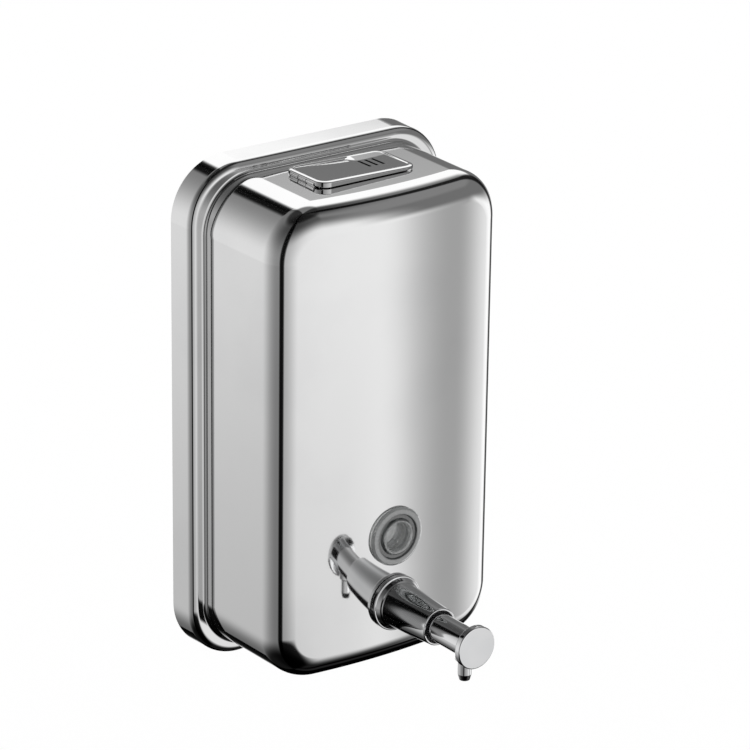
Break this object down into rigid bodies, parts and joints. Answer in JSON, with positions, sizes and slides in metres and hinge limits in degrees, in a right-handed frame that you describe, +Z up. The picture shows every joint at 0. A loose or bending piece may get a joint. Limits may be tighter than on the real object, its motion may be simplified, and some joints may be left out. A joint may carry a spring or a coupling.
{
  "type": "wall mounted soap dispenser",
  "caption": "Wall mounted liquid soap dispenser: a polished steel tank with a hinged, key-latched filler lid, a round sight glass and a push valve with a downward nozzle.",
  "frame": {"origin": "middle of the wall bracket's four screw holes, on the wall's face", "axes": "+X to the right of someone facing the dispenser, +Y into the wall, +Z up"},
  "size_m": [0.12, 0.1169, 0.205],
  "materials": {
    "polished_steel": "mirror polished stainless steel",
    "plated_metal": "bright plating",
    "plain_steel": "satin mill finish",
    "clear_plastic": "clear, glossy",
    "black_rubber": "matt",
    "pale_silicone": "smooth",
    "black_plastic": "fine matt",
    "white_plastic": "smooth",
    "brass": "turned"
  },
  "bodies": {
    "dispenser": {"front_shell": "polished_steel", "back_plate": "plain_steel", "hanger_bridge_left": "plain_steel", "hanger_bridge_right": "plain_steel", "wall_bracket": "plain_steel", "lock_screw": "plain_steel", "filler_collar": "polished_steel", "latch_keeper": "black_plastic", "hinge_pin": "plain_steel", "sight_glass": "clear_plastic", "sight_gasket": "pale_silicone", "sight_washer": "black_rubber", "sight_nut": "white_plastic", "valve_barrel": "plated_metal", "valve_gasket": "black_rubber", "valve_washer": "black_rubber", "valve_nut": "brass", "guide_bush": "black_plastic", "wiper_seal": "black_rubber", "pump_cylinder": "white_plastic", "cylinder_cap": "white_plastic", "inlet_seat": "white_plastic", "dip_tube": "white_plastic", "return_spring": "plain_steel"},
    "lid_set": {"lid": "polished_steel", "lid_gasket": "black_rubber", "latch_housing": "black_plastic", "latch_spring": "plain_steel"},
    "latch": {"latch_bolt": "plain_steel"},
    "plunger_set": {"plunger": "plated_metal", "push_head": "plated_metal", "nozzle": "plated_metal", "drip_valve": "black_rubber", "piston_stem": "white_plastic", "piston_seal": "black_rubber"},
    "check_ball": {"inlet_ball": "plain_steel"}
  },
  "joints": [
    {"name": "plunger_press", "type": "slide", "parent": "dispenser", "child": "plunger_set", "axis": [0, 1, 0], "range_m": [0, 0.011], "stiffness_N_per_m": 700, "springref_m": -0.005, "deforming": ["return_spring"]},
    {"name": "lid_hinge", "type": "hinge", "parent": "dispenser", "child": "lid_set", "pos_m": [-0.0221, -0.033, 0.09812], "axis": [0, -1, 0], "range_deg": [0, 95]},
    {"name": "latch_slide", "type": "slide", "parent": "lid_set", "child": "latch", "axis": [-1, 0, 0], "range_m": [0, 0.0016], "stiffness_N_per_m": 300, "springref_m": -0.001, "deforming": ["latch_spring"]},
    {"name": "inlet_ball_lift", "type": "slide", "parent": "dispenser", "child": "check_ball", "axis": [0, 0, 1], "range_m": [0, 0.0012]}
  ]
}
